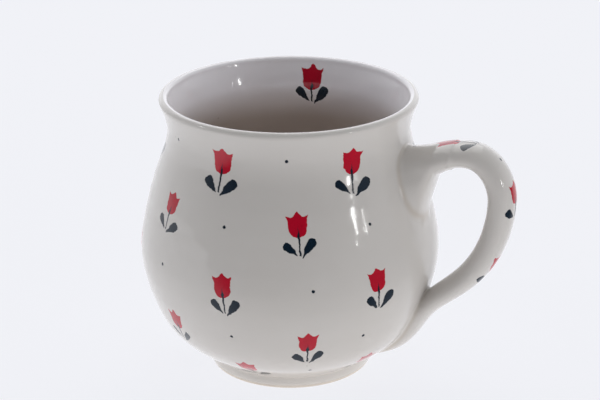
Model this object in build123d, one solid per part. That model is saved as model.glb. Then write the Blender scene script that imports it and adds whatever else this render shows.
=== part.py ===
"""A thrown, round-bellied stoneware mug with a pulled strap handle.

Frame: +Z up, origin on the body's axis in the plane that the foot rests on, handle towards +X.
Every outline is given as the glazed surface. The clay lies one glaze thickness inside it.
"""
from build123d import *
import os

os.makedirs("parts", exist_ok=True)

# ---- driving dimensions, mm ----
glaze = 0.35                  # thickness of the glass coat
height = 94.2                 # resting plane to the top of the lip
foot_height = 4.7             # foot ring, up to the groove under the belly
foot_radius = 27.5            # ring, outside, at the table
foot_inner_radius = 22.3      # ring, inside
foot_recess = 2.9             # underside of the floor above the table
bare_height = 1.3             # wiped strip above the resting edge, with no glaze
groove_radius = 28.0          # where the belly springs from the ring
belly_radius = 49.9
belly_height = 41.5           # height of the widest place
neck_radius = 40.0
neck_height = 83.5
lip_radius = 1.5              # half the thickness of the rounded lip
rim_radius = 42.4             # lip, outside
floor_top = 9.4               # inside floor above the table
floor_radius = 18.0           # flat part of the inside floor
wall = 4.0                    # glazed thickness at the belly
neck_wall = 3.2               # glazed thickness at the neck

crest_radius = rim_radius - lip_radius
crest_base = height - lip_radius

# Outside of the wall, from the groove up to the lip: (radius, height)
outer_points = [
    (groove_radius, foot_height),
    (34.8, 9.4),
    (41.1, 15.2),
    (46.9, 26.5),
    (belly_radius, belly_height),
    (48.2, 54.0),
    (43.3, 70.7),
    (neck_radius, neck_height),
    (rim_radius, crest_base),
]
# Inside of the wall, from the lip down to the flat floor
inner_points = [
    (rim_radius - 2 * lip_radius, crest_base),
    (neck_radius - neck_wall, neck_height - 0.5),
    (39.6, 70.7),
    (44.3, 54.0),
    (belly_radius - wall, belly_height),
    (43.0, 27.5),
    (37.2, 17.6),
    (30.6, 12.0),
    (24.4, 9.8),
    (floor_radius, floor_top),
]
# A line that stays inside the clay: it parts the inside of the mug from the outside
middle_points = [
    (0, 6.2),
    (28.0, 6.2),
    (38.5, 14.6),
    (44.8, 25.8),
    (belly_radius - wall / 2, belly_height),
    (45.9, 55.0),
    (41.4, 70.7),
    (neck_radius - neck_wall / 2, neck_height),
    (crest_radius, crest_base),
    (crest_radius, height + 5),
    (0, height + 5),
]

# Handle: centre line in the XZ plane with the strap's size there, all as glazed
handle_stations = [           # (x, z, thickness, width)
    (37.0, 72.4, 8.0, 15.0),
    (44.9, 75.6, 7.6, 14.6),
    (54.7, 79.1, 7.8, 14.0),
    (64.5, 79.7, 8.4, 13.4),
    (71.6, 72.2, 8.9, 13.0),
    (72.4, 60.7, 9.0, 12.8),
    (68.2, 47.3, 8.6, 12.6),
    (59.7, 36.1, 7.8, 12.8),
    (48.6, 25.8, 6.8, 13.4),
    (39.6, 13.2, 5.6, 13.0),
    (33.0, 9.6, 4.4, 11.5),
    (28.0, 9.0, 3.0, 9.0),
]
# Clay smeared round the upper root: (x, lowest z, highest z, width), as glazed
upper_root_stations = [
    (37.0, 50.0, 80.8, 24.0),
    (44.0, 53.5, 80.5, 21.0),
    (47.6, 59.0, 80.9, 18.2),
    (49.6, 66.0, 81.4, 16.2),
    (51.6, 72.6, 82.0, 14.4),
    (55.6, 76.0, 82.8, 12.8),
]
# Clay smeared round the lower root: a pad of even thickness on the belly, cut to a tongue
# whose edge slopes between these two ovals: (x, lowest z, highest z, width)
lower_root_thickness = 1.5
lower_root_stations = [
    (24.0, 6.6, 41.0, 27.0),
    (60.0, 11.0, 32.0, 12.0),
]


def half_plane_face(points):
    """A face in the XZ plane bounded by straight lines between (radius, height) points."""
    return Plane.XZ * make_face(Polyline(*points, close=True))


def moved_left(points, depth):
    """A smooth curve through the points, moved to the left of its direction by depth."""
    curve = Spline(*points)
    moved = []
    for point in points:
        along = curve % curve.param_at_point(Vector(*point))
        moved.append((point[0] - depth * along.Y, point[1] + depth * along.X))
    return Spline(*moved)


def outline_face(depth):
    """Half section of the mug, depth inside its glazed surface. The glazed outline's foot
    reaches one glaze thickness below the table, so that the clay inside it stands on the table."""
    outer = moved_left(outer_points, depth)
    inner = moved_left(inner_points, depth)
    lip = ThreePointArc(outer @ 1, (crest_radius, height - depth), inner @ 0)
    rest = Polyline(
        inner @ 1,
        (0, floor_top - depth),
        (0, foot_recess + depth),
        (foot_inner_radius - 0.8 + depth, foot_recess + depth),
        (foot_inner_radius + depth, depth - glaze),
        (foot_radius - depth, depth - glaze),
        outer @ 0,
    )
    return Plane.XZ * make_face(Curve() + [outer, lip, inner, rest])


def turned(section):
    """A solid of revolution about Z, with its seam on the side away from the handle."""
    return revolve(section, axis=Axis.Z).rotate(Axis.Z, 180)


def strap(stations, growth):
    """A loft through ovals square to the line through the stations' centres."""
    line = Plane.XZ * Spline(*[(x, z) for x, z, _, _ in stations])
    sections = []
    for x, z, thickness, width in stations:
        at = line.param_at_point(Vector(x, 0, z))
        plane = Plane(origin=(x, 0, z), x_dir=(0, 1, 0), z_dir=line % at)
        sections.append(plane * Ellipse(width / 2 + growth, thickness / 2 + growth))
    return loft(sections)


def smear(stations, growth):
    """A loft through upright ovals at the stations' x."""
    sections = []
    for x, low, high, width in stations:
        plane = Plane(origin=(x + growth, 0, (low + high) / 2), x_dir=(0, 1, 0), z_dir=(1, 0, 0))
        sections.append(plane * Ellipse(width / 2 + growth, (high - low) / 2 + growth))
    return loft(sections)


# ---- sections of the turned pieces ----
glazed_section = outline_face(0)
clay_section = outline_face(glaze)
glaze_section = glazed_section - clay_section
inside = half_plane_face(middle_points)
ring_zone = half_plane_face([
    (foot_inner_radius - 2, -1),
    (foot_radius + 5, -1),
    (foot_radius + 5, foot_height),
    (foot_inner_radius - 2, foot_height),
])
underside = half_plane_face([
    (0, bare_height),
    ((foot_inner_radius + foot_radius) / 2, bare_height),
    ((foot_inner_radius + foot_radius) / 2, 6.2),
    (0, 6.2),
])
bare_zone = half_plane_face([(0, -1), (60, -1), (60, bare_height), (0, bare_height)])

body = turned(clay_section - ring_zone)
foot_ring = turned(clay_section & ring_zone)
inner_glaze = turned(glaze_section & inside)
base_glaze = turned(glaze_section & underside)
outer_glaze = turned(glaze_section - inside - underside - bare_zone)

# ---- handle and its roots, cut to the body's clay ----
filled_clay = turned(clay_section + inside)
filled_glaze = turned(glazed_section + inside)


def lower_pad(growth):
    """The lower root's pad, still with the mug's body inside it."""
    return turned(outline_face(-lower_root_thickness - growth)) & smear(lower_root_stations, growth)


handle_blank = strap(handle_stations, -glaze)
upper_blank = smear(upper_root_stations, -glaze)
lower_blank = lower_pad(-glaze)
handle = handle_blank - filled_clay
upper_slip_joint = upper_blank - filled_clay - handle_blank
lower_slip_joint = lower_blank - filled_clay - handle_blank

coat = strap(handle_stations, 0) - filled_glaze
coat = coat + (smear(upper_root_stations, 0) - filled_glaze)
coat = coat + (lower_pad(0) - filled_glaze)
handle_glaze = coat - handle - upper_slip_joint - lower_slip_joint
outer_glaze = outer_glaze - handle_blank - upper_blank - lower_blank

for name, shape in {
    "body": body,
    "foot_ring": foot_ring,
    "handle": handle,
    "upper_slip_joint": upper_slip_joint,
    "lower_slip_joint": lower_slip_joint,
    "outer_glaze": outer_glaze,
    "inner_glaze": inner_glaze,
    "base_glaze": base_glaze,
    "handle_glaze": handle_glaze,
}.items():
    print(name, len(shape.solids()), round(shape.volume, 1), shape.bounding_box())
    export_step(shape, f"parts/{name}.step")
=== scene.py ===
"""A round-bellied stoneware mug: its glazed surfaces, the tulip sprigs painted on them and a
pale studio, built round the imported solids. The handle points along +X and the foot rests on Z = 0.
"""

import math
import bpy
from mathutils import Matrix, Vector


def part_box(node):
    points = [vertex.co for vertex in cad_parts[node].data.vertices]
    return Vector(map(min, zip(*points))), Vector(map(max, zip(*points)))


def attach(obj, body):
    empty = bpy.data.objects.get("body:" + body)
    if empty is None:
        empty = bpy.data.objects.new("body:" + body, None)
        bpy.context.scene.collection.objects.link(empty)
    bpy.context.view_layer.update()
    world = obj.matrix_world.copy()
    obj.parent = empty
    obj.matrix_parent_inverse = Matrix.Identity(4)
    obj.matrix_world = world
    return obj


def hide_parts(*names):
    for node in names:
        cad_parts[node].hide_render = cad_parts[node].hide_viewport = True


bl_info = {
    "name": "Painted Stoneware Mug",
    "version": (1, 0, 0),
    "blender": (4, 5, 0),
    "location": "View3D > Sidebar > Mug",
    "description": "Builds a glazed, painted mug and the studio it stands in",
    "category": "Add Mesh",
}

import bpy
import numpy as np
from bpy.props import FloatProperty, FloatVectorProperty, IntProperty, PointerProperty
from mathutils import Matrix, Vector

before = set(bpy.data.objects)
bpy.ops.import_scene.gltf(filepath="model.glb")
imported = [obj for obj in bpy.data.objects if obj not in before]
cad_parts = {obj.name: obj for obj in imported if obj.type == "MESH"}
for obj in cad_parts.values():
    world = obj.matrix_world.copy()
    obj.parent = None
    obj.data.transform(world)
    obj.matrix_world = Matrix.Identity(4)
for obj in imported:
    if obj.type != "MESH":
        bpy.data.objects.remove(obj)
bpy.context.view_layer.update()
COAT_LOW, COAT_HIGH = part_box("outer_glaze")
FOOT_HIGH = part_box("foot_ring")[1]
BASE_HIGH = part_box("base_glaze")[1]
STRAP_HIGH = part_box("handle_glaze")[1]
LINING_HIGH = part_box("inner_glaze")[1]

MM = 0.001
BELLY = COAT_HIGH.y            # radius of the widest place
HEIGHT = COAT_HIGH.z           # top of the lip
FOOT = FOOT_HIGH.y             # outside radius of the foot ring
GROOVE = FOOT_HIGH.z           # where the belly springs from the ring
REACH = STRAP_HIGH.x           # outermost face of the handle
GLAZE = LINING_HIGH.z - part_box("body")[1].z

# Outside of the wall from the groove to the lip, as shares of the belly's radius and of the height
WALL_OUTSIDE = (
    (0.561, 0.0499),
    (0.697, 0.0998),
    (0.824, 0.1614),
    (0.940, 0.2813),
    (1.000, 0.4406),
    (0.966, 0.5732),
    (0.868, 0.7505),
    (0.8016, 0.8864),
    (0.8497, 0.9841),
)
# Inside of the wall from the lip to the edge of the flat floor
WALL_INSIDE = (
    (0.7896, 0.9841),
    (0.7375, 0.8811),
    (0.7936, 0.7505),
    (0.8878, 0.5732),
    (0.9198, 0.4406),
    (0.8617, 0.2919),
    (0.7455, 0.1868),
    (0.6132, 0.1274),
    (0.4890, 0.1040),
    (0.3607, 0.0998),
)
# The strap's centre line from the upper root to the lower one, with its thickness and width:
# (share of the reach, share of the height, thickness, width)
STRAP = (
    (0.478, 0.769, 8.0, 15.0),
    (0.581, 0.803, 7.6, 14.6),
    (0.707, 0.840, 7.8, 14.0),
    (0.834, 0.846, 8.4, 13.4),
    (0.926, 0.766, 8.9, 13.0),
    (0.936, 0.644, 9.0, 12.8),
    (0.882, 0.502, 8.6, 12.6),
    (0.772, 0.383, 7.8, 12.8),
    (0.628, 0.274, 6.8, 13.4),
    (0.512, 0.140, 5.6, 13.0),
    (0.427, 0.102, 4.4, 11.5),
    (0.362, 0.096, 3.0, 9.0),
)


def srgb(red, green, blue):
    """A colour given as it looks on a screen, 0 to 255, in the renderer's linear values."""
    shares = [channel / 255 for channel in (red, green, blue)]
    return tuple(s / 12.92 if s <= 0.04045 else ((s + 0.055) / 1.055) ** 2.4 for s in shares)


# ---------------------------------------------------------------- settings


class MugForm(bpy.types.PropertyGroup):
    """Sizes of the mug's own surfaces."""

    segments: IntProperty(name="Segments", description="Faces round the body", default=240, min=48)
    row: FloatProperty(name="Row height", description="Height of one row of faces on the wall",
                       default=1.0 * MM, unit="LENGTH", precision=5)
    wobble: FloatProperty(name="Wobble", description="How far the thrown wall strays from round",
                          default=0.12 * MM, unit="LENGTH", precision=5)
    ripple: FloatProperty(name="Ripple", description="Depth of the finger marks left by throwing",
                          default=0.04 * MM, unit="LENGTH", precision=5)
    mesh: FloatProperty(name="Mesh", description="Size of the faces on the handle",
                        default=0.55 * MM, unit="LENGTH", precision=5)
    joint_blend: FloatProperty(name="Joint blend", description="Softness of the handle's joints",
                               default=2.6 * MM, unit="LENGTH", precision=5)


class SprigPaint(bpy.types.PropertyGroup):
    """The painted pattern: rings of sprigs and dots that take turns up each column."""

    columns: IntProperty(name="Columns", description="Marks in one ring round the mug", default=12)
    turn: FloatProperty(name="Turn", description="Where the first column crosses the belly",
                        default=math.radians(-33.8), subtype="ANGLE")
    size: FloatProperty(name="Size", description="Size of a sprig, where 1 is 12.5 mm tall",
                        default=1.07, min=0.2)
    unsteady: FloatProperty(name="Unsteady", description="How far a mark strays from its place",
                            default=1.0 * MM, unit="LENGTH", precision=5)
    blossom: FloatVectorProperty(name="Blossom", description="Crimson of the blossoms",
                                 subtype="COLOR", size=3, default=srgb(184, 2, 38))
    leaf: FloatVectorProperty(name="Leaf", description="Blue-black of the leaves and dots",
                              subtype="COLOR", size=3, default=srgb(8, 30, 46))


class GlazeFinish(bpy.types.PropertyGroup):
    """Colour and gloss of the glaze and of the bare clay, with the painted light and painted shade that its
    colours carry.
    """

    coat: FloatVectorProperty(name="Coat", description="Warm off-white of the glazed mug",
                              subtype="COLOR", size=3, default=srgb(213, 209, 205))
    # The darker tone of glaze that lies thick; it is also the painted shade in the groove and round the
    # handle's joints
    pooled_and_shaded: FloatVectorProperty(name="Pooled", description="Glaze where it lies thick",
                                subtype="COLOR", size=3, default=srgb(194, 184, 172))
    # Painted light: the lining near the lip is lighter and bluer than the outer coat, for the sky light
    # that falls into the mug
    lining: FloatVectorProperty(name="Lining", description="Glaze inside the mug, near the lip",
                                subtype="COLOR", size=3, default=srgb(246, 243, 247))
    # Painted shade: the darker, browner colour that the lining turns to further down, where little light
    # reaches
    deep_painted_shade: FloatVectorProperty(name="Deep painted shade", description="Browner glaze at the bottom of the lining",
                              subtype="COLOR", size=3, default=srgb(205, 194, 186))
    clay: FloatVectorProperty(name="Clay", description="Bare fired stoneware",
                              subtype="COLOR", size=3, default=srgb(222, 213, 203))
    roughness: FloatProperty(name="Roughness", description="Roughness of the glaze",
                             default=0.09, min=0, max=1)


class Studio(bpy.types.PropertyGroup):
    """Camera and light."""

    distance: FloatProperty(name="Distance", description="From the camera to the mug",
                            default=0.604, unit="LENGTH")
    azimuth: FloatProperty(name="Azimuth", description="The camera's turn from looking along +Y",
                           default=math.radians(22.0), subtype="ANGLE")
    elevation: FloatProperty(name="Elevation", description="How far the camera looks down",
                             default=math.radians(22.25), subtype="ANGLE")
    lens: FloatProperty(name="Lens", description="Focal length", default=108.0)
    paper: FloatVectorProperty(name="Paper", description="Colour of the pale surroundings",
                               subtype="COLOR", size=3, default=srgb(241, 242, 247))
    backdrop: FloatProperty(name="Backdrop", description="Light from the back and the sides",
                            default=1.14, min=0)
    near_side: FloatProperty(name="Near side", description="Light from the camera's side",
                             default=0.14, min=0)
    table: FloatProperty(name="Table", description="Light from the pale table",
                         default=0.40, min=0)


# ---------------------------------------------------------------- shapes


def spline(points, count):
    """count points, evenly spaced in chord length, on a natural cubic curve through the points."""
    knots = np.array(points, float)
    along = np.concatenate([[0], np.cumsum(np.linalg.norm(np.diff(knots, axis=0), axis=1))])
    gap = np.diff(along)
    rise = np.diff(knots, axis=0) / gap[:, None]
    size = len(knots)
    system, right = np.eye(size), np.zeros_like(knots)
    for i in range(1, size - 1):
        system[i, i - 1:i + 2] = gap[i - 1], 2 * (gap[i - 1] + gap[i]), gap[i]
        right[i] = 6 * (rise[i] - rise[i - 1])
    bend = np.linalg.solve(system, right)
    at = np.linspace(0, along[-1], count)
    i = np.clip(np.searchsorted(along, at, side="right") - 1, 0, size - 2)
    before, after, width = (at - along[i])[:, None], (along[i + 1] - at)[:, None], gap[i][:, None]
    return (
        (bend[i] * after**3 + bend[i + 1] * before**3) / (6 * width)
        + (knots[i] / width - bend[i] * width / 6) * after
        + (knots[i + 1] / width - bend[i + 1] * width / 6) * before
    )


def wall_points(shares):
    """Radius and height in metres from shares of the belly's radius and of the height."""
    return [(radius * BELLY, level * HEIGHT) for radius, level in shares]


OUTSIDE = spline(wall_points(WALL_OUTSIDE), 400)


def wall_radius(level):
    """Outside radius of the wall at a height."""
    return np.interp(level, OUTSIDE[:, 1], OUTSIDE[:, 0])


def wall_slope(level):
    """How fast the outside radius grows with height."""
    step = 0.3 * MM
    return (wall_radius(level + step) - wall_radius(level - step)) / (2 * step)


def thrown(points, form):
    """Points moved a little towards the axis, as a wall thrown by hand strays from round."""
    angle = np.arctan2(points[..., 1], points[..., 0])
    level = points[..., 2] / HEIGHT
    stray = 0.5 + 0.30 * np.cos(2 * angle + 0.8 + 0.9 * level) + 0.20 * np.cos(3 * angle - 1.1)
    marks = 0.5 + 0.5 * np.sin(2 * math.pi * (level * 15 + 0.12 * np.sin(angle + 0.4)))
    upper = np.clip(level * 4, 0, 1)
    inward = (form.wobble * stray + form.ripple * marks) * upper
    radius = np.maximum(np.hypot(points[..., 0], points[..., 1]), 1e-9)
    share = np.clip(radius / (0.2 * BELLY), 0, 1)
    moved = points.copy()
    moved[..., :2] -= points[..., :2] * (inward * share / radius)[..., None]
    return moved


def turned_rows(outline, segments):
    """Rings of points about Z from an outline of (radius, height)."""
    angle = np.linspace(0, 2 * math.pi, segments, endpoint=False)
    outline = np.asarray(outline)
    radius, level = outline[:, :1], outline[:, 1:]
    return np.stack([radius * np.cos(angle), radius * np.sin(angle), level + 0 * angle], axis=-1)


def placed(name, data):
    """A new object of the scene."""
    obj = bpy.data.objects.new(name, data)
    bpy.context.scene.collection.objects.link(obj)
    return obj


def add_mesh(name, points, faces, material, replaced, values):
    """A smooth mesh as a piece that stands for the replaced solids. values holds one number for
    each point, by name, that the material reads."""
    mesh = bpy.data.meshes.new(name)
    mesh.from_pydata(points.tolist(), [], faces)
    mesh.polygons.foreach_set("use_smooth", [True] * len(mesh.polygons))
    for label, numbers in values.items():
        layer = mesh.attributes.new(label, "FLOAT", "POINT")
        layer.data.foreach_set("value", np.asarray(numbers, float))
    mesh.materials.append(material)
    piece = placed(name, mesh)
    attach(piece, "root")
    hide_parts(*replaced)
    return piece


def add_turned(name, rows, material, replaced, close_end=False, values=None):
    """A mesh of rings of points. values holds one number for each ring, by name."""
    count, around = rows.shape[:2]
    points = rows.reshape(-1, 3)
    ring = np.arange(len(points)).reshape(count, around)
    following = np.roll(ring, -1, axis=1)
    faces = np.stack([ring[:-1], following[:-1], following[1:], ring[1:]], -1).reshape(-1, 4).tolist()
    spread = {label: np.repeat(numbers, around) for label, numbers in (values or {}).items()}
    if close_end:
        faces += [(a, b, len(points)) for a, b in zip(ring[-1].tolist(), following[-1].tolist())]
        points = np.vstack([points, rows[-1].mean(axis=0)])
        spread = {label: np.append(numbers, numbers[-1]) for label, numbers in spread.items()}
    return add_mesh(name, points, faces, material, replaced, spread)


def lengths(outline):
    """Distance along an outline at each of its points."""
    return np.concatenate([[0], np.cumsum(np.linalg.norm(np.diff(outline, axis=0), axis=1))])


def resampled(outline, spacing):
    """The outline with its points about spacing apart."""
    along = lengths(outline)
    at = np.linspace(0, along[-1], max(2, round(along[-1] / spacing) + 1))
    return np.stack([np.interp(at, along, outline[:, k]) for k in (0, 1)], axis=1)


def sunk(outline, depths, first):
    """The outline with its first or last few points moved into the clay, so that a coat that
    ends there slips under its neighbour."""
    outline = outline.copy()
    direction = np.gradient(outline, axis=0)
    direction /= np.linalg.norm(direction, axis=1)[:, None]
    inward = np.stack([-direction[:, 1], direction[:, 0]], axis=1)
    for k, depth in enumerate(depths):
        i = k if first else len(outline) - 1 - k
        outline[i] += inward[i] * depth
    return outline


LIP_ROWS = 16
# How far the last rows of a coat are sunk where it slips under the next one, from its very end
SLIP_UNDER = (0.03 * MM, 0.02 * MM, 0.01 * MM)


def lip_arc():
    """The rounded lip from outside to inside."""
    start, end = OUTSIDE[-1], np.array(wall_points(WALL_INSIDE)[0])
    centre = (start + end) / 2
    angle = np.linspace(0, math.pi, LIP_ROWS + 1)
    across = (start - end)[0] / 2
    rise = HEIGHT - centre[1]
    return np.stack([centre[0] + across * np.cos(angle), centre[1] + rise * np.sin(angle)], axis=1)


def coat_outline(form):
    """The glazed outline in two halves that meet on the crest of the lip."""
    edge = COAT_LOW.z
    ring_side = np.array([
        (FOOT - GLAZE - 0.35 * MM, edge + 0.05 * MM),
        (FOOT - 0.40 * MM, edge),
        (FOOT - 0.17 * MM, edge + 0.25 * MM),
        (FOOT - 0.08 * MM, edge + 0.8 * MM),
        (FOOT + 0.06 * MM, GROOVE - 0.9 * MM),
        (FOOT + 0.02 * MM, GROOVE - 0.3 * MM),
    ])
    wall = resampled(OUTSIDE[2:], form.row)
    wall = wall[1:] if wall[0, 1] < GROOVE else wall
    lip = lip_arc()
    half = LIP_ROWS // 2
    inside = resampled(spline(wall_points(WALL_INSIDE), 300), form.row)
    floor_edge, floor_level = inside[-1]
    floor = np.array([(r, floor_level) for r in np.linspace(floor_edge, 0.4 * MM, 12)[1:]])
    outer = np.vstack([ring_side, wall[:-1], lip[:half + 1 + len(SLIP_UNDER)]])
    inner = np.vstack([lip[half - len(SLIP_UNDER):], inside[1:], floor])
    return sunk(outer, SLIP_UNDER, first=False), sunk(inner, SLIP_UNDER, first=True)


# ---------------------------------------------------------------- the handle's surface

# Upright ovals through the clay smeared under the upper root: share of the belly's radius, then
# the low end, the high end and the width, as shares of the height
SMEAR = (
    (0.742, 0.531, 0.858, 0.255),
    (0.882, 0.568, 0.855, 0.223),
    (0.954, 0.626, 0.859, 0.193),
    (0.994, 0.701, 0.864, 0.172),
    (1.034, 0.771, 0.870, 0.153),
    (1.114, 0.807, 0.879, 0.136),
)
# How softly the handle melts into the wall: (share of the height, share of the joint blend)
SOFTNESS = (
    (0.00, 1.0),
    (0.27, 1.0),
    (0.35, 0.35),
    (0.45, 0.35),
    (0.60, 0.9),
    (0.80, 1.0),
    (0.86, 0.32),
    (1.00, 0.32),
)


def oval(a, b, half_a, half_b):
    """How far out points lie as a share of an oval's size, and about how far outside it."""
    share = np.maximum(np.hypot(a / half_a, b / half_b), 1e-6)
    return share, np.hypot(a, b) * (1 - 1 / share)


CHUNK = 4000                   # points looked at together, to keep the table of distances small


class Joined:
    """The wall, the strap and the clay smeared under its upper root, melted into one surface.
    depth() is about zero on that surface, and negative in the clay."""

    def __init__(self, blend):
        self.blend = blend
        stations = [(x * REACH, z * HEIGHT, thick * MM, wide * MM) for x, z, thick, wide in STRAP]
        self.line = spline(stations, 280)
        along = np.gradient(self.line[:, :2], axis=0)
        self.along = along / np.linalg.norm(along, axis=1)[:, None]
        self.out = np.stack([-self.along[:, 1], self.along[:, 0]], axis=1)
        face = self.line[:, :2] + self.out * self.line[:, 2:3] / 2
        self.run = lengths(self.line[:, :2])
        self.face_run = lengths(face)
        ovals = np.array(SMEAR) * (BELLY, HEIGHT, HEIGHT, HEIGHT)
        self.oval_x = ovals[:, 0]
        self.oval_z = ovals[:, 1:3].mean(axis=1)
        self.oval_tall = (ovals[:, 2] - ovals[:, 1]) / 2
        self.oval_wide = ovals[:, 3] / 2

    def nearest(self, p):
        """The sample of the centre line nearest to each point."""
        near = np.empty(len(p), int)
        for k in range(0, len(p), CHUNK):
            part = p[k:k + CHUNK, None, ::2] - self.line[None, :, :2]
            near[k:k + CHUNK] = np.argmin(np.einsum("ijk,ijk->ij", part, part), axis=1)
        return near

    def wall(self, p):
        """Depth against the wall alone, without the handle."""
        slope = wall_slope(p[:, 2])
        return (np.hypot(p[:, 0], p[:, 1]) - wall_radius(p[:, 2])) / np.sqrt(1 + slope**2)

    def on_strap(self, p, near):
        """Distance along the strap's outer face, sine of the angle round it, and depth."""
        offset = p[:, ::2] - self.line[near, :2]
        outwards = (offset * self.out[near]).sum(axis=1)
        run = self.run[near] + (offset * self.along[near]).sum(axis=1)
        thick, wide = self.line[near, 2] / 2, self.line[near, 3] / 2
        share, depth = oval(outwards, p[:, 1], thick, wide)
        return np.interp(run, self.run, self.face_run), outwards / thick / share, depth

    def smear(self, p):
        """Depth against the clay smeared under the upper root."""
        def flat(x):
            tall = np.interp(x, self.oval_x, self.oval_tall)
            wide = np.interp(x, self.oval_x, self.oval_wide)
            up = p[:, 2] - np.interp(x, self.oval_x, self.oval_z)
            return oval(up, p[:, 1], tall, wide)[1]

        step = 0.25 * MM
        low, high = flat(p[:, 0] - step), flat(p[:, 0] + step)
        lean = (high - low) / (2 * step)
        beyond = p[:, 0] - self.oval_x[-1]
        return np.maximum((low + high) / 2 / np.sqrt(1 + lean**2), beyond)

    def melted(self, a, b, reach):
        """The smaller of two depths, rounded over where they differ by less than the reach."""
        share = np.clip(0.5 + 0.5 * (b - a) / reach, 0, 1)
        return b + (a - b) * share - reach * share * (1 - share)

    def raised(self, p, near):
        """Depth against all that stands out from the wall."""
        return self.melted(self.on_strap(p, near)[2], self.smear(p), 1.2 * self.blend)

    def depth(self, p, near):
        softness = np.array(SOFTNESS)
        reach = self.blend * np.interp(p[:, 2] / HEIGHT, softness[:, 0], softness[:, 1])
        return self.melted(self.wall(p), self.raised(p, near), reach)

    def slope(self, p, near):
        h = 0.02 * MM
        return np.stack([
            (self.depth(p + h * axis, near) - self.depth(p - h * axis, near)) / (2 * h)
            for axis in np.eye(3)
        ], axis=1)

    def settle(self, p, steps=4):
        """Points moved onto the surface, and the surface's normals there."""
        for _ in range(steps):
            near = self.nearest(p)
            slope = self.slope(p, near)
            size = np.maximum((slope**2).sum(axis=1), 0.2)
            move = -(self.depth(p, near) / size)[:, None] * slope
            p = p + np.clip(move, -0.3 * MM, 0.3 * MM)
        return p, slope / np.linalg.norm(slope, axis=1)[:, None]


def net(low, high, cell, depth):
    """A net of quads over the surface where depth is zero inside a box: one point in each cell
    that the surface crosses, and one face round each grid edge that it crosses."""
    axes = [np.arange(a, b + cell, cell) for a, b in zip(low, high)]
    nodes = np.stack(np.meshgrid(*axes, indexing="ij"), axis=-1)
    value = depth(nodes.reshape(-1, 3)).reshape(nodes.shape[:3])
    total, count = np.zeros((value.size, 3)), np.zeros((value.size, 1))
    steps = np.eye(3, dtype=int)
    quads = []
    for axis in range(3):
        side, other = np.delete(steps, axis, axis=0)
        at = np.argwhere(np.diff(value < 0, axis=axis))
        within = (at > 0) & (at < np.array(value.shape) - 1)
        at = at[within[:, (side + other) > 0].all(axis=1)]
        start, end = [value[tuple(ends.T)][:, None] for ends in (at, at + steps[axis])]
        points = nodes[tuple(at.T)] + steps[axis] * cell * start / (start - end)
        corners = [np.ravel_multi_index(tuple((at - i * side - j * other).T), value.shape)
                   for i, j in ((0, 0), (1, 0), (1, 1), (0, 1))]
        for corner in corners:
            np.add.at(total, corner, points)
            np.add.at(count, corner, 1)
        quads.append(np.stack(corners, axis=1))
    used, quads = np.unique(np.concatenate(quads), return_inverse=True)
    return total[used] / count[used], quads.reshape(-1, 4)


def faced_out(points, quads, normals):
    """The quads with their corners in the order that faces them the way the normals point."""
    across = np.cross(points[quads[:, 2]] - points[quads[:, 0]], points[quads[:, 3]] - points[quads[:, 1]])
    inwards = (across * normals[quads].mean(axis=1)).sum(axis=1) < 0
    return np.where(inwards[:, None], quads[:, ::-1], quads)


# ---------------------------------------------------------------- shader building blocks

COLOUR, VECTOR = "NodeSocketColor", "NodeSocketVector"
FAR_OFF = 100.0                # a distance in millimetres at which no dot shows


class Value:
    """A number that varies over a surface. Arithmetic on it adds Math nodes to its tree."""

    def __init__(self, n, socket):
        self.n, self.socket = n, socket

    def __add__(self, other):
        return self.n.math("ADD", self, other)

    def __sub__(self, other):
        return self.n.math("SUBTRACT", self, other)

    def __rsub__(self, other):
        return self.n.math("SUBTRACT", other, self)

    def __mul__(self, other):
        return self.n.math("MULTIPLY", self, other)

    def __truediv__(self, other):
        return self.n.math("DIVIDE", self, other)

    __radd__, __rmul__ = __add__, __mul__


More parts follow.
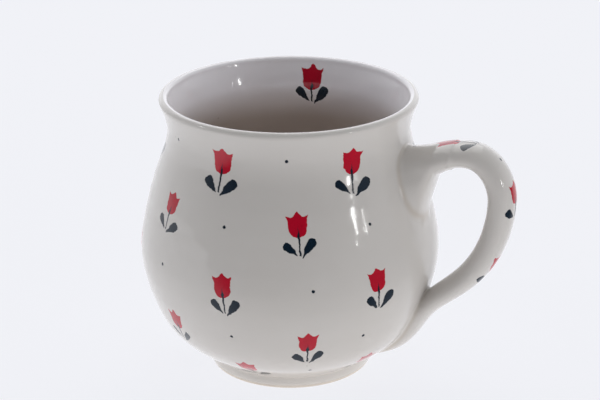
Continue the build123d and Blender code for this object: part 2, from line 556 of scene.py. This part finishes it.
class Nodes:
    """Adds nodes to a tree and links them, with plain numbers set on their sockets."""

    def __init__(self, tree):
        self.tree = tree

    def add(self, kind, inputs=None, **settings):
        node = self.tree.nodes.new(kind)
        for key, value in settings.items():
            setattr(node, key, value)
        for key, value in (inputs or {}).items():
            self.put(node.inputs[key], value)
        return node

    def out(self, kind, inputs=None, output=0, **settings):
        """One output of a new node."""
        return Value(self, self.add(kind, inputs, **settings).outputs[output])

    def put(self, socket, value):
        value = value.socket if isinstance(value, Value) else value
        if isinstance(value, bpy.types.NodeSocket):
            self.tree.links.new(value, socket)
        elif isinstance(value, (tuple, list)) and len(value) == 3 and socket.type == "RGBA":
            socket.default_value = (*value, 1)
        else:
            socket.default_value = value

    def math(self, operation, *values, clamp=False):
        return self.out("ShaderNodeMath", dict(enumerate(values)), operation=operation, use_clamp=clamp)

    def least(self, value, *others):
        for other in others:
            value = self.math("MINIMUM", value, other)
        return value

    def is_number(self, value, number):
        return self.math("COMPARE", value, float(number), 0.1)

    def whole(self, value, highest):
        """The nearest whole number from 0 to the highest."""
        return self.math("MAXIMUM", self.least(self.math("ROUND", value), float(highest)), 0.0)

    def parts(self, kind, label, value):
        """The parts of a colour or a vector."""
        return [Value(self, socket) for socket in self.add(kind, {label: value}).outputs]

    def channels(self, colour):
        return self.parts("ShaderNodeSeparateColor", "Color", colour)

    def axes(self, vector):
        return self.parts("ShaderNodeSeparateXYZ", "Vector", vector)

    def drawn(self, value, points):
        """A drawn curve: value and result both run from 0 to 1."""
        node = self.add("ShaderNodeFloatCurve", {"Value": value})
        curve = node.mapping.curves[0]
        for k, (x, y) in enumerate(points):
            if k < 2:
                curve.points[k].location = (x, y)
            else:
                curve.points.new(x, y)
        node.mapping.update()
        return Value(self, node.outputs[0])

    def ramp(self, value, start, end, low=0.0, high=1.0, kind="SMOOTHSTEP"):
        """Runs from low to high while the value runs from start to end."""
        return self.out("ShaderNodeMapRange", {
            "Value": value, "From Min": start, "From Max": end, "To Min": low, "To Max": high,
        }, interpolation_type=kind)

    def edge(self, distance, soft):
        """1 well inside an edge, 0 well outside, with a soft step as wide as soft."""
        return self.ramp(distance, -soft, soft)

    def noise(self, vector, scale, detail, roughness=0.5, output="Fac"):
        return self.out("ShaderNodeTexNoise", {
            "Vector": vector, "Scale": scale, "Detail": detail, "Roughness": roughness,
        }, output)

    def chance(self, dimensions, **key):
        """Three random numbers that are always the same for the same key."""
        return self.channels(self.out("ShaderNodeTexWhiteNoise", key, "Color", noise_dimensions=dimensions))

    def mix(self, share, a, b):
        return self.out("ShaderNodeMix", {"Factor": share, "A": a, "B": b}, "Result", data_type="RGBA")

    def place(self):
        return self.out("ShaderNodeTexCoord", output="Object")

    def kept(self, name):
        """A number that the mesh keeps at each of its points."""
        return self.out("ShaderNodeAttribute", output="Fac", attribute_name=name)

    def bump(self, height, depth, strength):
        """The normal of a surface with a height between 0 and 1 pressed into it."""
        inputs = {"Height": height, "Distance": depth, "Strength": strength}
        return self.out("ShaderNodeBump", inputs, "Normal")

    def sum_of(self, one, other):
        return self.out("ShaderNodeAddShader", {0: one, 1: other})

    def show(self, shader, kind="ShaderNodeOutputMaterial"):
        self.add(kind, {"Surface": shader})


def numbers(*labels):
    return dict.fromkeys(labels, "NodeSocketFloat")


def new_group(name, takes, gives):
    """An empty node group. takes and gives hold the kind of each socket, by its label."""
    group = bpy.data.node_groups.new(name, "ShaderNodeTree")
    for direct, sockets in (("INPUT", takes), ("OUTPUT", gives)):
        for label, kind in sockets.items():
            group.interface.new_socket(label, in_out=direct, socket_type=kind)
    n = Nodes(group)
    source, sink = n.add("NodeGroupInput"), n.add("NodeGroupOutput")
    return group, n, {label: Value(n, source.outputs[label]) for label in takes}, sink.inputs


# A sprig, in millimetres: the blossom's lowest place, height and half width; the stem's foot below
# the middle, its length and half width
BLOSSOM_FOOT, BLOSSOM_TALL, BLOSSOM_BROAD = -0.8, 7.4, 4.0
STEM_FOOT, STEM_LENGTH, STEM_WIDE = 5.9, 8.1, 0.9
# The two leaves: lean in degrees, length, half width, and the start beside the stem's foot and
# above it, in millimetres
LEAVES = (
    (-41, 5.1, 1.10, -0.8, 0.0),
    (43, 6.4, 1.38, 0.6, -0.7),
)
LEAF_LEANS, LEAF_FATTER = 0.3, 0.35     # how far a leaf's lean, in radians, and half width vary
BRUSH_STRAYS = 1.1                      # how far the brush strays from an outline
BRUSH_EDGE = 0.10                       # softness of a painted edge


def sprig_stamp():
    """One brush-painted tulip sprig, in millimetres about its own middle: U across, V up.
    Lift moves the leaves and the foot of the stem towards the blossom."""
    group, n, given, result = new_group(
        "Sprig stamp", numbers("U", "V", "Seed", "Size", "Lift"), numbers("Blossom", "Leaves"))
    u, v = given["U"] / given["Size"], given["V"] / given["Size"]
    spot = n.out("ShaderNodeCombineXYZ", {"X": u, "Y": v, "Z": given["Seed"] * 9.0})
    stray = n.channels(n.noise(spot, 0.55, 3.0, 0.55, "Color"))
    u, v = (stray[0] - 0.5) * BRUSH_STRAYS + u, (stray[1] - 0.5) * BRUSH_STRAYS + v
    across = n.math("ABSOLUTE", u)
    own = n.chance("1D", W=given["Seed"])

    # Blossom: half its width against the height in it, under a crown of three tips
    up = v - BLOSSOM_FOOT
    width = n.drawn(up / BLOSSOM_TALL, [
        (0.0, 0.05), (1.0, 0.85), (0.03, 0.27), (0.10, 0.46), (0.22, 0.59), (0.50, 0.665),
        (0.68, 0.70), (0.80, 0.765), (0.88, 0.81),
    ])
    crown = n.drawn(across / BLOSSOM_BROAD, [
        (0.0, 1.0), (1.0, 0.90), (0.07, 0.98), (0.17, 0.92), (0.30, 0.84), (0.42, 0.81),
        (0.60, 0.825), (0.82, 0.875),
    ])
    blossom = n.least(width * BLOSSOM_BROAD - across, crown * BLOSSOM_TALL - up, up)
    n.put(result["Blossom"], n.edge(blossom, BRUSH_EDGE))

    # Stem: a thin line that ends in a dark wedge inside the blossom
    above = v + (STEM_FOOT - given["Lift"])
    stem_width = n.drawn(above / (STEM_LENGTH - given["Lift"]), [
        (0.0, 0.28), (1.0, 0.0), (0.50, 0.32), (0.62, 0.40), (0.70, 0.46), (0.85, 0.16),
    ])
    leaves = n.least(stem_width * STEM_WIDE - across, above)

    # Each leaf is a dab of the brush that starts thin beside the stem's foot
    for k, (lean, long, wide, start, low) in enumerate(LEAVES):
        lean_by = (own[k] - 0.5) * LEAF_LEANS + math.radians(lean)
        c, s = n.math("COSINE", lean_by), n.math("SINE", lean_by)
        from_u, from_v = u - start, above - low
        outwards = from_u * s + from_v * c
        aside = from_u * c - from_v * s
        dab = n.drawn(outwards / long, [
            (0.0, 0.12), (1.0, 0.0), (0.22, 0.40), (0.45, 0.80), (0.68, 1.0), (0.86, 0.95),
            (0.96, 0.62),
        ])
        fat = own[2 - k] * LEAF_FATTER + (wide - 0.15)
        inside = n.least(dab * fat - n.math("ABSOLUTE", aside), outwards, long - outwards)
        leaves = n.math("MAXIMUM", leaves, inside)
    n.put(result["Leaves"], n.edge(leaves, BRUSH_EDGE))
    return group


def mark_place():
    """Turns the distance from a mark's place into the coordinates of its sprig, or the distance
    from its dot. Sprigs and dots take turns from column to column and from ring to ring."""
    group, n, given, result = new_group(
        "Mark place", numbers("Aside", "Above", "Column", "Ring", "Unsteady", "Size"),
        numbers("U", "V", "Seed", "Size", "Dot distance"))
    column, ring, unsteady = given["Column"], given["Ring"], given["Unsteady"]
    is_dot = n.math("FLOORED_MODULO", column + ring, 2.0)
    key = n.out("ShaderNodeCombineXYZ", {"X": column, "Y": ring, "Z": 3.7})
    slip_u, slip_v, lean = [part - 0.5 for part in n.chance("3D", Vector=key)]
    u = slip_u * unsteady + given["Aside"]
    v = slip_v * unsteady + given["Above"]
    tilt = lean * unsteady * 0.22
    n.put(result["U"], tilt * v + u + is_dot * (10 * FAR_OFF))
    n.put(result["V"], v - tilt * u)
    n.put(result["Seed"], column * 7.3 + ring)
    n.put(result["Size"], lean * 0.08 + given["Size"])
    n.put(result["Dot distance"], (1.0 - is_dot) * (10 * FAR_OFF) + n.math("SQRT", u * u + v * v))
    return group


def paint_under_glaze():
    """The painted colours laid over the ground, a little uneven as a brush leaves them."""
    group, n, given, result = new_group("Paint under glaze", {
        "Ground": COLOUR, **numbers("Blossom", "Leaves", "Dot distance"),
        "Blossom colour": COLOUR, "Leaf colour": COLOUR, "Place": VECTOR,
    }, {"Colour": COLOUR})
    place = given["Place"]
    uneven = (n.noise(place, 900.0, 3.0) + n.noise(place, 260.0, 2.0)) * 0.22 + 0.78

    def brushed(paint):
        return n.out("ShaderNodeVectorMath", {0: paint, "Scale": uneven}, operation="SCALE")

    ground = n.mix(given["Blossom"], given["Ground"], brushed(given["Blossom colour"]))
    dot = n.edge(n.noise(place, 1500.0, 1.0) * 0.40 + 0.34 - given["Dot distance"], 0.12)
    dark = n.math("MAXIMUM", given["Leaves"], dot)
    n.put(result["Colour"], n.mix(dark, ground, brushed(given["Leaf colour"])))
    return group


def glaze_surface():
    """Ground colour, roughness and unevenness of the fired glaze, with the painted shade that the mesh
    marks in creases and deep in the lining.
    """
    group, n, given, result = new_group("Glaze surface", {
        "Coat": COLOUR, "Pooled": COLOUR, "Place": VECTOR, **numbers("Pool", "Roughness"),
    }, {"Ground": COLOUR, **numbers("Roughness", "Height")})
    place = given["Place"]
    # Random cloudy tone, darker where the mesh marks pooled glaze and painted shade
    shade = n.math("MULTIPLY_ADD", n.noise(place, 22.0, 3.0) - 0.5, 0.5, given["Pool"], clamp=True)
    ground = n.mix(shade, given["Coat"], given["Pooled"])
    speck = n.add("ShaderNodeTexVoronoi", {"Vector": place, "Scale": 150.0, "Randomness": 1.0})
    picked, larger, _ = n.channels(speck.outputs["Color"])
    spot = n.edge(larger * 0.035 + 0.02 - speck.outputs["Distance"], 0.012)
    spot = spot * n.math("GREATER_THAN", picked, 0.93) * 0.55
    n.put(result["Ground"], n.mix(spot, ground, srgb(120, 104, 92)))
    n.put(result["Roughness"], (n.noise(place, 420.0, 2.0) - 0.5) * 0.06 + given["Roughness"])
    swell, peel = n.noise(place, 75.0, 2.0, 0.45), n.noise(place, 520.0, 1.0)
    n.put(result["Height"], peel * 0.035 + swell)
    return group


GROUPS = {}


def grouped(n, maker, inputs):
    """The outputs of a shared node group, which is built the first time that it is used."""
    if maker not in GROUPS:
        GROUPS[maker] = maker()
    node = n.add("ShaderNodeGroup", inputs, node_tree=GROUPS[maker])
    return {socket.name: Value(n, socket) for socket in node.outputs}


def new_nodes(owner):
    """The emptied shader nodes of a material or a world."""
    owner.use_nodes = True
    owner.node_tree.nodes.clear()
    return Nodes(owner.node_tree)


def new_material(name):
    material = bpy.data.materials.new(name)
    return material, new_nodes(material)


def glazed_material(name, pattern, coat, pooled_and_shaded):
    """A glazed surface in two tones; the second one is also painted shade where the mesh marks it. pattern
    lays out its painted marks, or is None.
    """
    finish, paint = bpy.context.scene.glaze_finish, bpy.context.scene.sprig_paint
    material, n = new_material(name)
    place = n.place()
    glaze = grouped(n, glaze_surface, {
        "Coat": tuple(coat), "Pooled": tuple(pooled_and_shaded), "Place": place, "Pool": n.kept("pool"),
        "Roughness": finish.roughness,
    })
    colour = glaze["Ground"]
    if pattern:
        blossom, leaves, dots = pattern(n, place)
        colour = grouped(n, paint_under_glaze, {
            "Ground": colour, "Blossom": blossom, "Leaves": leaves, "Dot distance": dots,
            "Blossom colour": tuple(paint.blossom), "Leaf colour": tuple(paint.leaf), "Place": place,
        })["Colour"]
    n.show(n.out("ShaderNodeBsdfPrincipled", {
        "Base Color": colour, "Roughness": glaze["Roughness"], "IOR": 1.52,
        "Normal": n.bump(glaze["Height"], 0.45 * MM, 0.6),
    }))
    return material


def clay_material(name, colour):
    """Bare fired stoneware: fine sand, a little tone from the kiln."""
    material, n = new_material(name)
    place = n.place()
    grain, patch = n.noise(place, 1400.0, 3.0), n.noise(place, 120.0, 3.0)
    tone = n.math("MULTIPLY_ADD", grain + patch, 0.35, -0.1, clamp=True)
    darker = tuple(channel * 0.72 for channel in colour)
    n.show(n.out("ShaderNodeBsdfPrincipled", {
        "Base Color": n.mix(tone, tuple(colour), darker), "Roughness": grain * 0.2 + 0.62,
        "Normal": n.bump(grain, 0.08 * MM, 0.5),
    }))
    return material


# ---------------------------------------------------------------- the painted pattern

# Rings of marks: millimetres up the wall from the groove, degrees that the painter's columns
# have strayed there, and millimetres that the dots sit above the middles of the sprigs
RINGS = (
    (9.5, 4.5, 3.0),
    (26.0, 2.4, 3.4),
    (45.5, 0.0, 3.1),
    (66.4, -0.6, 0.4),
    (84.3, -5.2, 4.6),
)
FIRST_RING, RING_SPACING = 8.0, 19.0    # millimetres: the rings are numbered by even steps
STRAY = 6.0                             # the most that a column can stray, in degrees
# Dots that were set well off their places: column, ring, millimetres towards the next column and
# millimetres down
DOTS_ASIDE = ((0, 1, -6.2, 1.0), (-1, 2, 3.6, 1.0))
TOP_RING_LARGER = 0.13                  # how much larger the sprigs of the ring under the lip are
BEHIND_HANDLE = -0.04                   # middle of the bare stretch behind the handle, in radians
BARE_COLUMN = 0.55                      # half its width, as a share of a column's
# The sprigs inside the lip: angle of the first, millimetres from the lip to their middles
LINING_TURN, LINING_DOWN = math.radians(99.5), 11.2
# Places of the marks down the handle's outer face, in millimetres from its upper end: dots and
# sprigs take turns
DOWN_THE_STRAP = (9.2, 23.3, 39.0, 53.9, 66.8, 79.7, 93.8)


def in_millimetres(value):
    return value * 1000.0


def marks(n, aside, above, column, ring, unsteady, size, lift):
    """Masks of a mark's blossom and leaves, and the distance from its dot."""
    place = grouped(n, mark_place, {
        "Aside": aside, "Above": above, "Column": column, "Ring": ring, "Unsteady": unsteady, "Size": size,
    })
    dots = place.pop("Dot distance")
    stamp = grouped(n, sprig_stamp, {**place, "Lift": lift})
    return stamp["Blossom"], stamp["Leaves"], dots


def only_where(mask, marks_there):
    """The marks where the mask is 1, and none where it is 0."""
    blossom, leaves, dots = marks_there
    return blossom * mask, leaves * mask, dots + (1.0 - mask) * FAR_OFF


def round_the_axis(n, place):
    """Angle round the mug's axis and distance from it in millimetres."""
    x, y, _ = n.axes(place)
    return n.math("ARCTAN2", y, x), in_millimetres(n.math("SQRT", x * x + y * y))


def column_at(n, turn, width, radius):
    """The nearest column, and the distance from its middle in millimetres."""
    column = n.math("ROUND", turn / width)
    return column, (turn - column * width) * radius


def by_step(n, step, values, low, high):
    """The value with the number step, from a short list of values between low and high."""
    last = len(values) - 1
    points = [(k / last, (value - low) / (high - low)) for k, value in enumerate(values)]
    return n.drawn(step / last, [points[0], points[last], *points[1:last]]) * (high - low) + low


def body_pattern(n, place):
    """Rings of marks up the outside of the body. The column behind the handle is left out."""
    paint = bpy.context.scene.sprig_paint
    angle, radius = round_the_axis(n, place)
    up = in_millimetres(n.kept("up_the_wall"))
    levels, strays, rises = zip(*RINGS)
    last = len(RINGS) - 1
    ring = n.whole((up - FIRST_RING) / RING_SPACING, last)
    stray = by_step(n, ring, strays, -STRAY, STRAY) * math.radians(1)
    width = 2 * math.pi / paint.columns
    column, aside = column_at(n, angle - paint.turn - stray, width, radius)
    is_dot = n.math("FLOORED_MODULO", column + ring, 2.0)
    above = up - by_step(n, ring, levels, 0, 100) - is_dot * by_step(n, ring, rises, 0, 10)
    for its_column, its_ring, onward, lower in DOTS_ASIDE:
        here = n.is_number(column, its_column) * n.is_number(ring, its_ring)
        aside, above = here * -onward + aside, here * lower + above
    size = n.math("GREATER_THAN", ring, last - 0.5) * TOP_RING_LARGER + paint.size
    clear = n.math("GREATER_THAN", n.math("ABSOLUTE", angle - BEHIND_HANDLE), BARE_COLUMN * width)
    unsteady = in_millimetres(paint.unsteady)
    return only_where(clear, marks(n, aside, above, column, ring, unsteady, size, 0.0))


def lining_pattern(n, place):
    """Three larger sprigs just inside the lip, turned about to be seen from inside."""
    angle, radius = round_the_axis(n, place)
    column, aside = column_at(n, angle - LINING_TURN, 2 * math.pi / 3, radius)
    above = LINING_DOWN - in_millimetres(n.kept("down_the_lining"))
    ring = n.math("FLOORED_MODULO", column, 2.0)
    unsteady, size, lift = 0.2, 1.25, 1.7
    blossom, leaves, _ = marks(n, aside * -1.0, above, column, ring, unsteady, size, lift)
    return blossom, leaves, FAR_OFF


def strap_pattern(n, place):
    """Sprigs and dots down the outer face of the handle, each with its tip to the upper root."""
    paint = bpy.context.scene.sprig_paint
    _, across, _ = n.axes(place)
    down = in_millimetres(n.kept("down_the_handle"))
    first, last = DOWN_THE_STRAP[0], len(DOWN_THE_STRAP) - 1
    ring = n.whole((down - first) / ((DOWN_THE_STRAP[last] - first) / last), last)
    above = by_step(n, ring, DOWN_THE_STRAP, 0, 100) - down
    face = n.math("GREATER_THAN", n.kept("outer_face"), 0.1)
    unsteady = 0.7 * in_millimetres(paint.unsteady)
    return only_where(face, marks(n, in_millimetres(across), above, 1.0, ring, unsteady, paint.size, 0.0))


# ---------------------------------------------------------------- operators


GROOVE_SHADE_AND_POOL = 0.7 * MM          # how far from the groove the pooled glaze and its painted shade reach
ROOT_SHADE_AND_POOL = 0.9 * MM            # how far from the handle's joints the pooled glaze and its painted shade reach
DEEP_SHADE_FROM, DEEP_SHADE_TO = 10 * MM, 23 * MM       # down the lining, where its painted shade begins and is full


class MUG_OT_coats(bpy.types.Operator):
    """Turn the glazed coats of the body, outside and inside"""

    bl_idname = "mug.coats"
    bl_label = "Body coats"

    def execute(self, context):
        form, finish = context.scene.mug_form, context.scene.glaze_finish
        outer, inner = coat_outline(form)
        groove_row = np.searchsorted(outer[:, 1], GROOVE)
        up = np.maximum(lengths(outer) - lengths(outer)[groove_row], -1 * MM)
        rows = turned_rows(outer, form.segments)
        # Painted shade in the groove above the foot ring, also standing for glaze pooled there
        pool = np.exp(-((outer[:, 1] - GROOVE) / GROOVE_SHADE_AND_POOL) ** 2) * 0.3
        glaze = glazed_material("Painted glaze", body_pattern, finish.coat, finish.pooled_and_shaded)
        add_turned("painted_coat", thrown(rows, form), glaze, ["outer_glaze"],
                   values={"up_the_wall": up, "pool": pool})
        down = lengths(inner) - lengths(inner)[len(SLIP_UNDER)]
        rows = turned_rows(inner, form.segments)
        # Painted light and shade: the lining is lighter and bluer near the lip and turns darker and browner
        # further down
        glaze = glazed_material("Lining glaze", lining_pattern, finish.lining, finish.deep_painted_shade)
        pool = np.clip((down - DEEP_SHADE_FROM) / (DEEP_SHADE_TO - DEEP_SHADE_FROM), 0, 1)
        add_turned("lining_coat", thrown(rows, form), glaze, ["inner_glaze"],
                   close_end=True, values={"down_the_lining": down, "pool": pool})
        return {"FINISHED"}


# The handle's surface is drawn in a box this wide on each side, and out along the wall to this many
# times the joint blend. Past the joints it slips this deep under the body's coat.
HANDLE_SIDE = 13.0 * MM
SKIRT = 2.2
TUCK = 0.04 * MM


class MUG_OT_handle(bpy.types.Operator):
    """Draw the handle's glazed surface and melt its roots into the wall"""

    bl_idname = "mug.handle"
    bl_label = "Handle"

    def execute(self, context):
        form, finish = context.scene.mug_form, context.scene.glaze_finish
        joined = Joined(form.joint_blend)
        low = Vector((0.52 * BELLY, -HANDLE_SIDE, 0.05 * HEIGHT))
        high = Vector((REACH + 1 * MM, HANDLE_SIDE, 0.93 * HEIGHT))
        points, quads = net(low, high, form.mesh, lambda p: joined.depth(p, joined.nearest(p)))
        if not len(quads):
            raise RuntimeError("the handle's surface came out empty")
        points, normals = joined.settle(points)
        near = joined.nearest(points)
        skirt = joined.raised(points, near) < SKIRT * form.joint_blend
        used, quads = np.unique(quads[skirt[quads].all(axis=1)], return_inverse=True)
        quads = quads.reshape(-1, 4)
        points, normals, near = points[used], normals[used], near[used]
        down, face, _ = joined.on_strap(points, near)
        lift = joined.wall(points) - joined.depth(points, near)
        sink = TUCK * np.clip(1 - lift / (0.2 * MM), 0, 1)
        # Painted shade round the handle's joints, also standing for glaze pooled there: darker where the
        # strap nears the wall
        gap = np.abs(joined.wall(points) - joined.raised(points, near))
        glaze = glazed_material("Handle glaze", strap_pattern, finish.coat, finish.pooled_and_shaded)
        piece = add_mesh("handle_coat", thrown(points - normals * sink[:, None], form),
                         faced_out(points, quads, normals).tolist(), glaze,
                         ["handle_glaze", "upper_slip_joint", "lower_slip_joint"],
                         {"down_the_handle": down, "outer_face": face,
                          "pool": 0.6 * np.exp(-(gap / ROOT_SHADE_AND_POOL) ** 2)})
        piece.data.normals_split_custom_set_from_vertices(normals.tolist())
        return {"FINISHED"}


class MUG_OT_foot(bpy.types.Operator):
    """Turn the foot ring with its worn edges and finish the clay and the glazed base"""

    bl_idname = "mug.foot"
    bl_label = "Foot"

    def execute(self, context):
        form, finish = context.scene.mug_form, context.scene.glaze_finish
        inner = BASE_HIGH.y
        ring = spline([
            (inner - 0.8 * MM, BASE_HIGH.z),
            (inner - 0.1 * MM, 1.6 * MM),
            (inner + 0.4 * MM, 0.25 * MM),
            (inner + 1.4 * MM, 0.0),
            (FOOT - 1.9 * MM, 0.0),
            (FOOT - 0.9 * MM, 0.3 * MM),
            (FOOT - 0.55 * MM, 1.2 * MM),
            (FOOT - 0.5 * MM, 2.4 * MM),
        ], 48)
        ring[:, 1] = np.maximum(ring[:, 1], 0)
        bare = clay_material("Bare stoneware", finish.clay)
        add_turned("foot", turned_rows(ring, form.segments), bare, ["foot_ring"])
        under = glazed_material("Base glaze", None, finish.coat, finish.pooled_and_shaded)
        for node, material in (("body", bare), ("handle", bare), ("base_glaze", under)):
            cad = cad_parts[node]
            cad.data.materials.clear()
            cad.data.materials.append(material)
        return {"FINISHED"}


def aimed(obj, target, roll=0.0):
    """Turns an object's -Z towards a target."""
    look = (Vector(target) - obj.location).to_track_quat("-Z", "Y").to_matrix().to_4x4()
    obj.matrix_world = Matrix.Translation(obj.location) @ look @ Matrix.Rotation(roll, 4, "Z")


def direction(azimuth, elevation):
    """Unit vector from the mug, with azimuth counted from +X."""
    a, e = math.radians(azimuth), math.radians(elevation)
    return Vector((math.cos(e) * math.cos(a), math.cos(e) * math.sin(a), math.sin(e)))


# The lamps: azimuth and elevation in degrees, width and height in metres, watts, colour
LAMPS = {
    "overhead": (112, 60, 0.9, 0.9, 3.0, (1.0, 0.99, 0.97)),
    "right_window": (-15, 10, 0.022, 0.17, 0.45, (1.0, 1.0, 1.0)),
    "right_window_edge": (-8, 8, 0.010, 0.12, 0.10, (1.0, 1.0, 1.0)),
    "left_window": (-154, 33, 0.06, 0.06, 0.35, (1.0, 1.0, 1.0)),
    "soft_side": (-38, 17, 0.12, 0.12, 0.7, (1.0, 0.99, 0.98)),
}
LAMP_DISTANCE = 0.9
NOT_MIRRORED = ("soft_side",)   # lamps that the glaze doesn't mirror
BACKDROP = direction(112, 22)   # where the pale room is brightest
NEAR_SIDE = direction(-45, 0)   # where the table's reflection fades
ORBIT_CENTRE = Vector((0, 0, 45 * MM))      # what the camera's distance is counted from
AIM = (1.7 * MM, 4.9 * MM, 54.9 * MM)       # what it looks at
CAMERA_ROLL = math.radians(-0.45)


def add_lamp(name, azimuth, elevation, width, height, watts, colour):
    """A rectangular lamp aimed at the middle of the mug."""
    lamp = bpy.data.lights.new(name, "AREA")
    lamp.shape, lamp.size, lamp.size_y = "RECTANGLE", width, height
    lamp.energy, lamp.color = watts, colour
    obj = placed(name, lamp)
    middle = Vector((0, 0, HEIGHT / 2))
    obj.location = middle + direction(azimuth, elevation) * LAMP_DISTANCE
    aimed(obj, middle)
    obj.visible_glossy = name not in NOT_MIRRORED


class MUG_OT_studio(bpy.types.Operator):
    """Set up the pale table, the soft light and the camera"""

    bl_idname = "mug.studio"
    bl_label = "Studio"

    def execute(self, context):
        studio = context.scene.studio
        self.sweep(studio)
        self.world(studio)
        for name, lamp in LAMPS.items():
            add_lamp(name, *lamp)
        self.camera(studio)
        context.scene.view_settings.view_transform = "Standard"
        return {"FINISHED"}

    def straight(self, n):
        """1 for what the camera sees, also through glass, and 0 for all other light."""
        path = n.add("ShaderNodeLightPath").outputs
        return n.math("MAXIMUM", path["Is Camera Ray"], path["Is Transmission Ray"])

    def choice(self, n, lights, looks):
        """One shader for what lights the mug, another for what the camera, a mirror or glass sees."""
        path = n.add("ShaderNodeLightPath").outputs
        seen = n.math("MAXIMUM", self.straight(n), path["Is Glossy Ray"])
        return n.out("ShaderNodeMixShader", {"Fac": seen, 1: lights, 2: looks})

    def sweep(self, studio):
        """The table: dim where the mug mirrors its near side, brighter where it lights the foot."""
        half = 4.0
        mesh = bpy.data.meshes.new("table")
        corners = [(-half, -half, 0), (half, -half, 0), (half, half, 0), (-half, half, 0)]
        mesh.from_pydata(corners, [], [(0, 1, 2, 3)])
        table = placed("table", mesh)
        material, n = new_material("White table")
        paper, place = tuple(studio.paper), n.place()
        away = n.out("ShaderNodeVectorMath", {0: place}, "Value", operation="LENGTH")
        under = n.ramp(away, FOOT, 1.5 * BELLY, 1.7 * studio.table, studio.table, "LINEAR")
        bounce = n.out("ShaderNodeEmission", {"Color": (1.0, 0.985, 0.96), "Strength": under})
        lights = n.sum_of(n.out("ShaderNodeBsdfDiffuse", {"Color": paper}), bounce)
        ahead = n.out("ShaderNodeVectorMath", {0: place, 1: NEAR_SIDE}, "Value", operation="DOT_PRODUCT")
        straight = self.straight(n)
        glowing = straight + (1.0 - straight) * n.ramp(ahead, 0.0, 0.12, 1.15, 0.10)
        glow = n.out("ShaderNodeEmission", {"Color": paper, "Strength": glowing * 0.90})
        faint = n.out("ShaderNodeBsdfDiffuse", {"Color": tuple(c * 0.14 for c in paper)})
        n.show(self.choice(n, lights, n.sum_of(faint, glow)))
        mesh.materials.append(material)

    def world(self, studio):
        """A pale room: bright behind the mug and at its sides, dim on the near side."""
        world = bpy.data.worlds.new("Studio")
        bpy.context.scene.world = world
        n = new_nodes(world)
        towards = n.out("ShaderNodeTexCoord", output="Generated")
        facing = n.out("ShaderNodeVectorMath", {0: towards, 1: BACKDROP}, "Value", operation="DOT_PRODUCT")
        wash = n.ramp(facing, -0.75, 0.60)
        overhead = n.ramp(n.axes(towards)[2], 0.15, 0.95, 1.0, 0.16)
        strength = (wash * studio.backdrop + studio.near_side) * overhead
        lights = n.out("ShaderNodeBackground", {"Color": (0.95, 0.97, 1.0), "Strength": strength})
        mirrored = wash * 0.93 + 0.07 + n.ramp(facing, 0.5, 0.95, 0.0, 0.9)
        straight = self.straight(n)
        shown = (1.0 - straight) * mirrored + straight
        looks = n.out("ShaderNodeBackground", {"Color": tuple(studio.paper), "Strength": shown})
        n.show(self.choice(n, lights, looks), "ShaderNodeOutputWorld")

    def camera(self, studio):
        data = bpy.data.cameras.new("camera")
        data.lens, data.sensor_width = studio.lens, 36.0
        data.clip_start, data.clip_end = 0.02, 20.0
        camera = placed("camera", data)
        back = math.pi / 2 + studio.azimuth
        low = math.cos(studio.elevation)
        camera.location = ORBIT_CENTRE + studio.distance * Vector(
            (-low * math.cos(back), -low * math.sin(back), math.sin(studio.elevation)))
        aimed(camera, AIM, CAMERA_ROLL)
        bpy.context.scene.camera = camera


class MUG_PT_panel(bpy.types.Panel):
    """Lists the steps that build the mug, and their settings"""

    bl_label = "Painted Mug"
    bl_idname = "MUG_PT_panel"
    bl_space_type = "VIEW_3D"
    bl_region_type = "UI"
    bl_category = "Mug"

    def draw(self, context):
        for operator in ("mug.studio", "mug.coats", "mug.handle", "mug.foot"):
            self.layout.operator(operator)
        for settings in ("mug_form", "glaze_finish", "sprig_paint", "studio"):
            group_settings = getattr(context.scene, settings)
            box = self.layout.box()
            for name in group_settings.bl_rna.properties.keys():
                if name not in ("rna_type", "name"):
                    box.prop(group_settings, name)


SETTINGS = {"mug_form": MugForm, "sprig_paint": SprigPaint, "glaze_finish": GlazeFinish, "studio": Studio}
CLASSES = (*SETTINGS.values(), MUG_OT_studio, MUG_OT_coats, MUG_OT_handle, MUG_OT_foot, MUG_PT_panel)


def register():
    for cls in CLASSES:
        bpy.utils.register_class(cls)
    for name, cls in SETTINGS.items():
        setattr(bpy.types.Scene, name, PointerProperty(type=cls))


def unregister():
    for name in SETTINGS:
        delattr(bpy.types.Scene, name)
    for cls in reversed(CLASSES):
        bpy.utils.unregister_class(cls)


def main():
    register()
    bpy.ops.mug.studio()
    bpy.ops.mug.coats()
    bpy.ops.mug.handle()
    bpy.ops.mug.foot()


if __name__ == "__main__":
    main()
